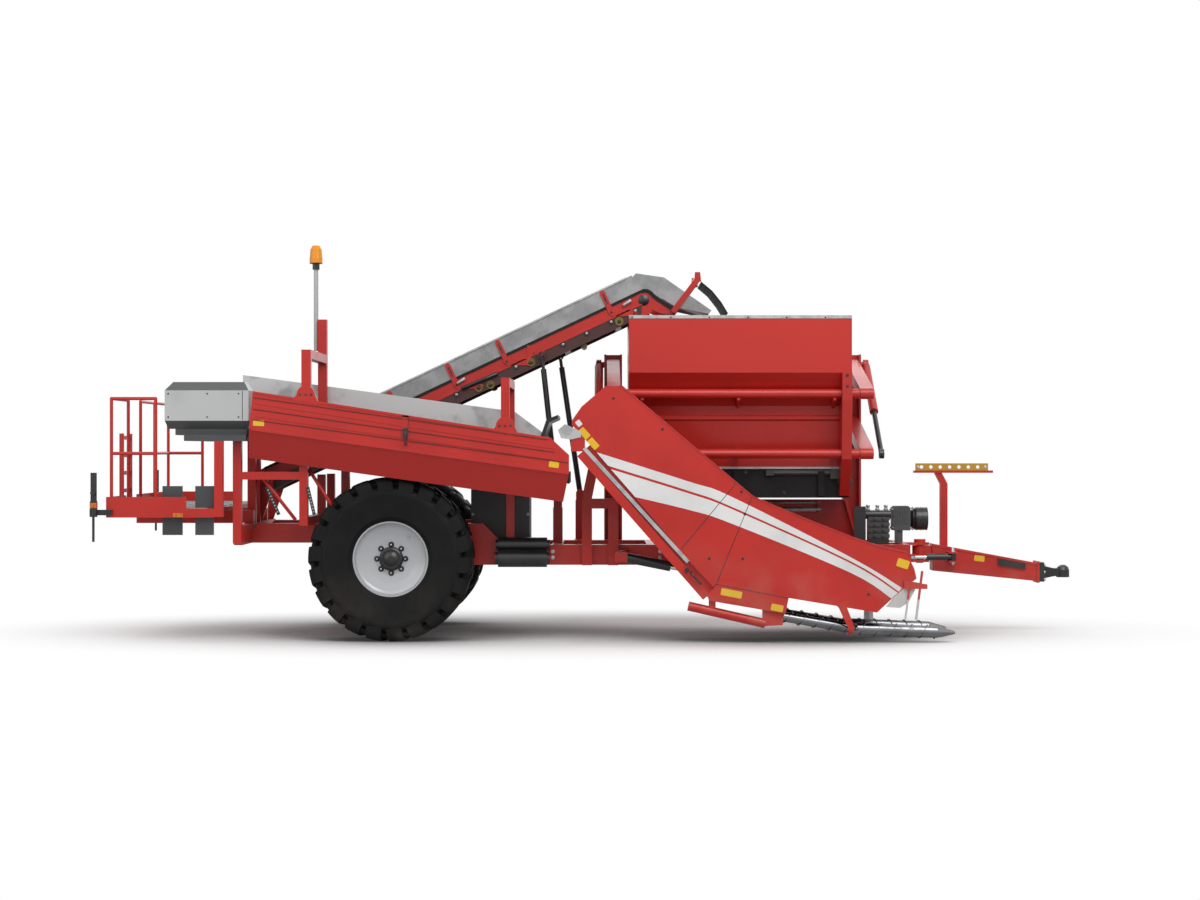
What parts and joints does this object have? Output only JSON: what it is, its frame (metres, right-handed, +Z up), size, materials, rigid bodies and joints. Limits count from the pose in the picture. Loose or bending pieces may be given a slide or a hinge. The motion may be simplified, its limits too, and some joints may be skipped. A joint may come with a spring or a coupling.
{
  "type": "trailed vegetable harvester with lifting bunker",
  "caption": "Trailed single-row vegetable harvester: side pick-up with augers, sorting table, rear platform, elevator and a bunker that lifts on parallel arms.",
  "frame": {"origin": "on the ground under the middle of the machine's outline", "axes": "+X forward to the coupling, +Y to the left side, +Z up"},
  "size_m": [9.045, 2.86, 3.676],
  "materials": {
    "red_paint": "satin",
    "tyre": "matte",
    "silver_rim": "satin",
    "galvanised": "matte",
    "bright_steel": "polished",
    "black_paint": "satin",
    "dark_grey": "matte",
    "amber": "gloss"
  },
  "bodies": {
    "frame": {"frame_rails": "red_paint", "crossbeams": "red_paint", "axle": "dark_grey", "masts": "red_paint", "rear_posts": "red_paint", "table_posts": "red_paint", "pickup_posts": "red_paint", "cylinder_stands": "red_paint", "jack_sleeve": "dark_grey", "gearbox": "dark_grey", "pto_shield": "black_paint", "valve_block": "dark_grey", "oil_tank": "dark_grey", "pressure_vessels": "black_paint", "table_bed": "dark_grey", "table_panels": "red_paint", "table_guard": "galvanised", "gantries": "red_paint", "beacon": "amber", "cross_conveyor": "dark_grey", "conveyor_cover": "galvanised", "platform": "red_paint", "guard_rails": "red_paint", "tail_lamps": "dark_grey"},
    "wheel_right": {"tyre_right": "tyre", "rim_right": "silver_rim"},
    "wheel_left": {"tyre_left": "tyre", "rim_left": "silver_rim"},
    "jack": {"jack_leg": "black_paint"},
    "drawbar": {"drawbar": "red_paint", "coupling": "black_paint", "hose_rack": "red_paint"},
    "pickup": {"pickup_panels": "red_paint", "pickup_bed": "dark_grey", "pickup_frame": "red_paint", "pickup_nose": "galvanised"},
    "elevator": {"elevator_sides": "red_paint", "elevator_belt": "dark_grey", "elevator_guards": "galvanised"},
    "bunker": {"bunker_walls": "red_paint", "bunker_floor": "dark_grey", "bunker_tubes": "red_paint"},
    "steer_barrel": {"steer_barrel": "black_paint"},
    "steer_rod": {"steer_rod": "galvanised"},
    "pto_shaft": {"pto_shaft": "bright_steel"},
    "auger_rear_right": {"auger_rear_right": "bright_steel"},
    "auger_front_right": {"auger_front_right": "bright_steel"},
    "auger_rear_left": {"auger_rear_left": "bright_steel"},
    "auger_front_left": {"auger_front_left": "bright_steel"},
    "pickup_barrel": {"pickup_barrel": "black_paint"},
    "pickup_rod": {"pickup_rod": "galvanised"},
    "ladder": {"ladder": "red_paint"},
    "elev_barrel_right": {"elev_barrel_right": "black_paint"},
    "elev_rod_right": {"elev_rod_right": "black_paint"},
    "elev_barrel_left": {"elev_barrel_left": "black_paint"},
    "elev_rod_left": {"elev_rod_left": "black_paint"},
    "upper_arms": {"upper_arms": "red_paint"},
    "lower_arms": {"lower_arms": "red_paint"},
    "lift_barrels": {"lift_barrels": "black_paint"},
    "lift_rods": {"lift_rods": "galvanised"}
  },
  "joints": [
    {"name": "wheel_right_spin", "type": "hinge", "parent": "frame", "child": "wheel_right", "pos_m": [-1.86, -0.925, 0.745], "axis": [0, 1, 0], "continuous": true},
    {"name": "wheel_left_spin", "type": "hinge", "parent": "frame", "child": "wheel_left", "pos_m": [-1.86, 0.925, 0.745], "axis": [0, 1, 0], "continuous": true},
    {"name": "jack_slide", "type": "slide", "parent": "frame", "child": "jack", "axis": [0, 0, 1], "range_m": [0, 0.35]},
    {"name": "drawbar_swing", "type": "hinge", "parent": "frame", "child": "drawbar", "pos_m": [3.1, 0, 0.76], "axis": [0, 0, 1], "range_deg": [-20, 20]},
    {"name": "steer_barrel_turn", "type": "hinge", "parent": "drawbar", "child": "steer_barrel", "pos_m": [3.383, -0.2, 0.72], "axis": [0, 0, 1], "range_deg": [-7, 7]},
    {"name": "steer_rod_slide", "type": "slide", "parent": "steer_barrel", "child": "steer_rod", "axis": [-0.9993, -0.0381, 0], "range_m": [-0.08, 0.08]},
    {"name": "pto_spin", "type": "hinge", "parent": "frame", "child": "pto_shaft", "pos_m": [3.04, 0, 1.079], "axis": [1, 0, 0], "continuous": true},
    {"name": "pickup_lift", "type": "hinge", "parent": "frame", "child": "pickup", "pos_m": [0.14, -0.65, 2.09], "axis": [0, -1, 0], "range_deg": [0, 15]},
    {"name": "pickup_barrel_turn", "type": "hinge", "parent": "frame", "child": "pickup_barrel", "pos_m": [0.256, -0.9, 0.754], "axis": [0, -1, 0], "range_deg": [0, 20]},
    {"name": "pickup_rod_slide", "type": "slide", "parent": "pickup_barrel", "child": "pickup_rod", "axis": [0.9803, 0, -0.1974], "range_m": [0, 0.36]},
    {"name": "auger_rear_right_spin", "type": "hinge", "parent": "pickup", "child": "auger_rear_right", "pos_m": [1.69, -1.2, 0.231], "axis": [0.9857, 0, -0.1687], "continuous": true},
    {"name": "auger_front_right_spin", "type": "hinge", "parent": "pickup", "child": "auger_front_right", "pos_m": [2.327, -1.2, 0.122], "axis": [0.9992, 0, -0.0391], "continuous": true},
    {"name": "auger_rear_left_spin", "type": "hinge", "parent": "pickup", "child": "auger_rear_left", "pos_m": [1.69, -0.66, 0.231], "axis": [0.9857, 0, -0.1687], "continuous": true},
    {"name": "auger_front_left_spin", "type": "hinge", "parent": "pickup", "child": "auger_front_left", "pos_m": [2.327, -0.66, 0.122], "axis": [0.9992, 0, -0.0391], "continuous": true},
    {"name": "ladder_fold", "type": "hinge", "parent": "frame", "child": "ladder", "pos_m": [-4.43, -0.314, 1.19], "axis": [0, -1, 0], "range_deg": [0, 165]},
    {"name": "bunker_lift", "type": "hinge", "parent": "frame", "child": "upper_arms", "pos_m": [1.35, 0.77, 2.58], "axis": [-1, 0, 0], "range_deg": [0, 70]},
    {"name": "lower_arms_turn", "type": "hinge", "parent": "frame", "child": "lower_arms", "pos_m": [1.35, 0.77, 2.018], "axis": [-1, 0, 0], "range_deg": [0, 70]},
    {"name": "bunker_level", "type": "hinge", "parent": "upper_arms", "child": "bunker", "pos_m": [1.35, -0.48, 2.262], "axis": [-1, 0, 0], "range_deg": [-70, 0]},
    {"name": "lift_barrels_turn", "type": "hinge", "parent": "frame", "child": "lift_barrels", "pos_m": [1.35, 0.77, 2.58], "axis": [-1, 0, 0], "range_deg": [0, 68]},
    {"name": "lift_rods_slide", "type": "slide", "parent": "lift_barrels", "child": "lift_rods", "axis": [0, -0.8177, -0.5757], "range_m": [-0.66, 0]},
    {"name": "elevator_lift", "type": "hinge", "parent": "frame", "child": "elevator", "pos_m": [-3.145, 0.4, 1.438], "axis": [0, -1, 0], "range_deg": [0, 22]},
    {"name": "elev_barrel_right_turn", "type": "hinge", "parent": "frame", "child": "elev_barrel_right", "pos_m": [-0.363, 0, 1.255], "axis": [0, -1, 0], "range_deg": [0, 14]},
    {"name": "elev_rod_right_slide", "type": "slide", "parent": "elev_barrel_right", "child": "elev_rod_right", "axis": [-0.1096, 0, 0.994], "range_m": [0, 1.08]},
    {"name": "elev_barrel_left_turn", "type": "hinge", "parent": "frame", "child": "elev_barrel_left", "pos_m": [-0.158, 0.8, 1.308], "axis": [0, -1, 0], "range_deg": [0, 14]},
    {"name": "elev_rod_left_slide", "type": "slide", "parent": "elev_barrel_left", "child": "elev_rod_left", "axis": [-0.1448, 0, 0.9895], "range_m": [0, 1.08]}
  ],
  "couplings": [
    {"joint": "steer_barrel_turn", "follows": "drawbar_swing", "ratio": -0.30486},
    {"joint": "steer_rod_slide", "follows": "drawbar_swing", "m_per_rad": 0.2115},
    {"joint": "pickup_barrel_turn", "follows": "pickup_lift", "ratio": 1.2668},
    {"joint": "pickup_rod_slide", "follows": "pickup_lift", "m_per_rad": 1.3173},
    {"joint": "auger_front_right_spin", "follows": "auger_rear_right_spin", "ratio": 1},
    {"joint": "auger_front_left_spin", "follows": "auger_rear_left_spin", "ratio": 1},
    {"joint": "lower_arms_turn", "follows": "bunker_lift", "ratio": 1},
    {"joint": "bunker_level", "follows": "bunker_lift", "ratio": -1},
    {"joint": "lift_barrels_turn", "follows": "bunker_lift", "ratio": 0.94228},
    {"joint": "lift_rods_slide", "follows": "bunker_lift", "m_per_rad": -0.51794},
    {"joint": "elevator_lift", "follows": "bunker_lift", "ratio": 0.3},
    {"joint": "elev_barrel_right_turn", "follows": "bunker_lift", "ratio": 0.1783},
    {"joint": "elev_rod_right_slide", "follows": "bunker_lift", "m_per_rad": 0.8056},
    {"joint": "elev_barrel_left_turn", "follows": "bunker_lift", "ratio": 0.16656},
    {"joint": "elev_rod_left_slide", "follows": "bunker_lift", "m_per_rad": 0.86232}
  ]
}
